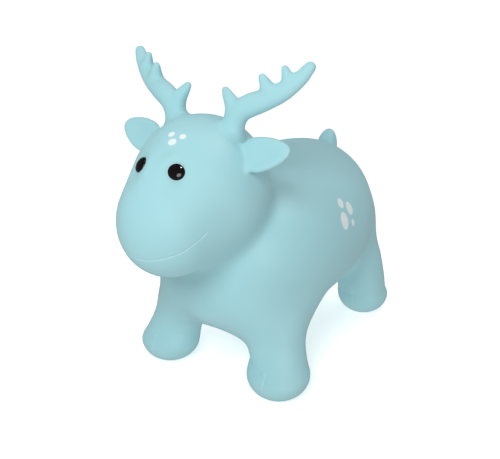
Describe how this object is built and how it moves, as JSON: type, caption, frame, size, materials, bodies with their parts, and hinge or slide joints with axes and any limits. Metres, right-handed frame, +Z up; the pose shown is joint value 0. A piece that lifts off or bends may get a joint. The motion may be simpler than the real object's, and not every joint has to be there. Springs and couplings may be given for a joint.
{
  "type": "inflatable ride-on hopper",
  "caption": "Inflatable ride-on moose for a small child to sit on and bounce, with branched antlers to hold, cupped ears, a stub tail and a stopper in the belly valve.",
  "frame": {"origin": "on the floor under the middle of the whole toy's bounding box", "axes": "+Z up, -Y towards the nose, +X towards the animal's left side"},
  "size_m": [0.2824, 0.5216, 0.4659],
  "materials": {
    "skin": "satin pale blue soft vinyl, faintly grained",
    "eye_gloss": "polished black",
    "stopper": "milky white moulded plastic"
  },
  "bodies": {
    "legs": {"leg_front_left": "skin", "leg_front_right": "skin", "leg_rear_left": "skin", "leg_rear_right": "skin"},
    "torso": {"torso": "skin", "head": "skin", "eye_left": "eye_gloss", "eye_right": "eye_gloss"},
    "antler_left": {"antler_left": "skin"},
    "antler_right": {"antler_right": "skin"},
    "ear_left": {"ear_left": "skin"},
    "ear_right": {"ear_right": "skin"},
    "tail": {"tail": "skin"},
    "valve_plug": {"valve_plug": "stopper"}
  },
  "joints": [
    {"name": "bounce", "type": "slide", "parent": "legs", "child": "torso", "axis": [0, 0, 1], "range_m": [-0.035, 0], "stiffness_N_per_m": 10000, "springref_m": 0.002, "deforming": ["leg_front_left", "leg_front_right", "leg_rear_left", "leg_rear_right"]},
    {"name": "antler_left_flex", "type": "hinge", "parent": "torso", "child": "antler_left", "pos_m": [0.0471, -0.1173, 0.3815], "axis": [1, 0, 0], "range_deg": [-15, 15], "stiffness_Nm_per_rad": 6, "deforming": ["antler_left"]},
    {"name": "antler_right_flex", "type": "hinge", "parent": "torso", "child": "antler_right", "pos_m": [-0.0471, -0.1173, 0.3815], "axis": [1, 0, 0], "range_deg": [-15, 15], "stiffness_Nm_per_rad": 6, "deforming": ["antler_right"]},
    {"name": "ear_left_flex", "type": "hinge", "parent": "torso", "child": "ear_left", "pos_m": [0.0701, -0.1326, 0.3573], "axis": [0, 0, 1], "range_deg": [-20, 30], "stiffness_Nm_per_rad": 0.3, "deforming": ["ear_left"]},
    {"name": "ear_right_flex", "type": "hinge", "parent": "torso", "child": "ear_right", "pos_m": [-0.0701, -0.1326, 0.3573], "axis": [0, 0, -1], "range_deg": [-20, 30], "stiffness_Nm_per_rad": 0.3, "deforming": ["ear_right"]},
    {"name": "tail_flex", "type": "hinge", "parent": "torso", "child": "tail", "pos_m": [0, 0.2399, 0.266], "axis": [1, 0, 0], "range_deg": [-20, 20], "stiffness_Nm_per_rad": 0.3, "deforming": ["tail"]},
    {"name": "valve_plug_pull", "type": "slide", "parent": "torso", "child": "valve_plug", "axis": [0, 0, -1], "range_m": [0, 0.03]}
  ]
}
